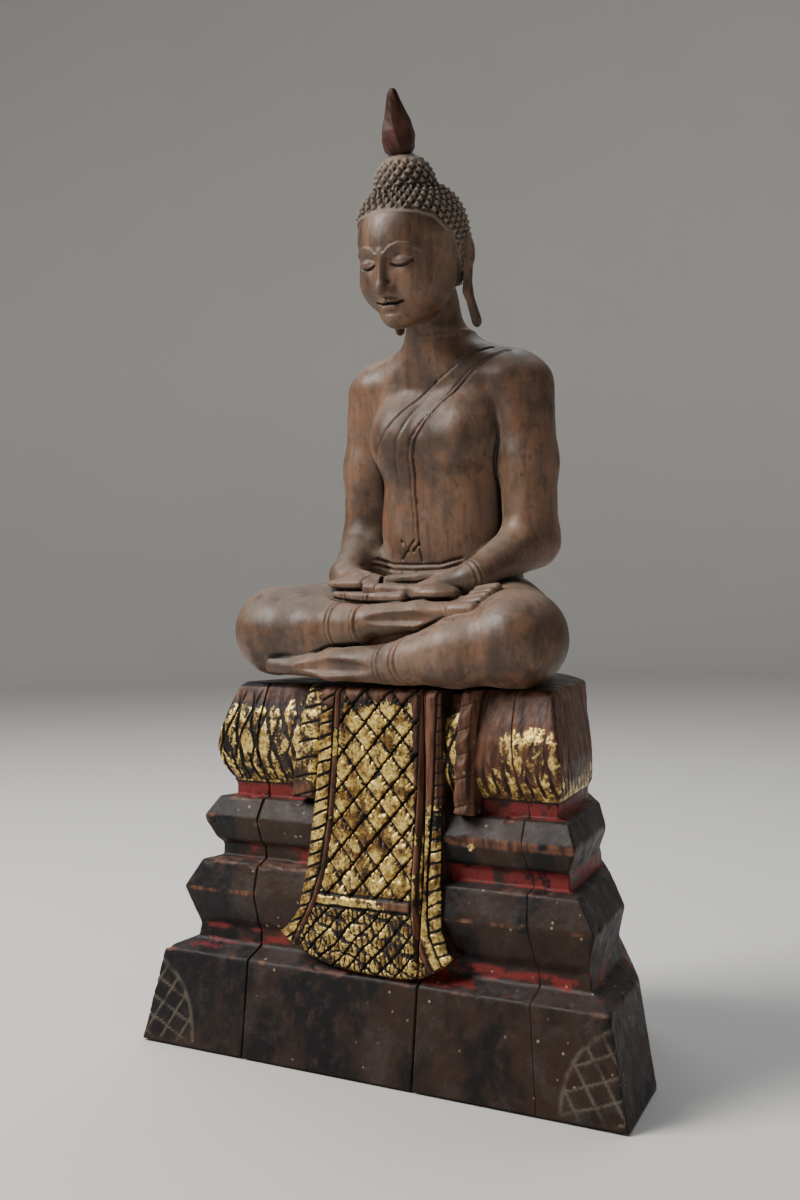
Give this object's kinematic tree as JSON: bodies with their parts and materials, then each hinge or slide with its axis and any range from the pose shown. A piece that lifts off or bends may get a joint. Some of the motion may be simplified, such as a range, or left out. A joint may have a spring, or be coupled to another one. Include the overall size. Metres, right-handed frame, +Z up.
{
  "type": "seated devotional figure on a pedestal",
  "caption": "Seated meditating figure carved in wood, with a lift-off bud finial, resting on a stepped lacquered block pedestal with a carved hanging.",
  "frame": {"origin": "on the table, at the centre of the pedestal's bounding footprint", "axes": "+Z up, -Y towards the front of the figure, +X towards the figure's own left"},
  "size_m": [0.2446, 0.1426, 0.4124],
  "materials": {
    "pedestal_lacquer": "worn black and red lacquer with flaked gilding",
    "bamboo": "dry, split and rounded",
    "figure_wood": "satin from handling, dusty in the recesses",
    "finial_wood": "satin"
  },
  "bodies": {
    "pedestal": {"pedestal_right_end": "pedestal_lacquer", "pedestal_right_centre": "pedestal_lacquer", "pedestal_left_centre": "pedestal_lacquer", "pedestal_left_end": "pedestal_lacquer", "seam_peg_right_low": "bamboo", "seam_peg_right_high": "bamboo", "seam_peg_middle_low": "bamboo", "seam_peg_middle_high": "bamboo", "seam_peg_left_low": "bamboo", "seam_peg_left_high": "bamboo", "locating_dowel_right": "bamboo", "locating_dowel_left": "bamboo"},
    "figure": {"figure": "figure_wood"},
    "finial": {"finial": "finial_wood"}
  },
  "joints": [
    {"name": "figure_lift", "type": "slide", "parent": "pedestal", "child": "figure", "axis": [0, 0, 1], "range_m": [0, 0.03]},
    {"name": "finial_pull", "type": "slide", "parent": "figure", "child": "finial", "axis": [0, -0.2079, 0.9781], "range_m": [0, 0.025]}
  ]
}
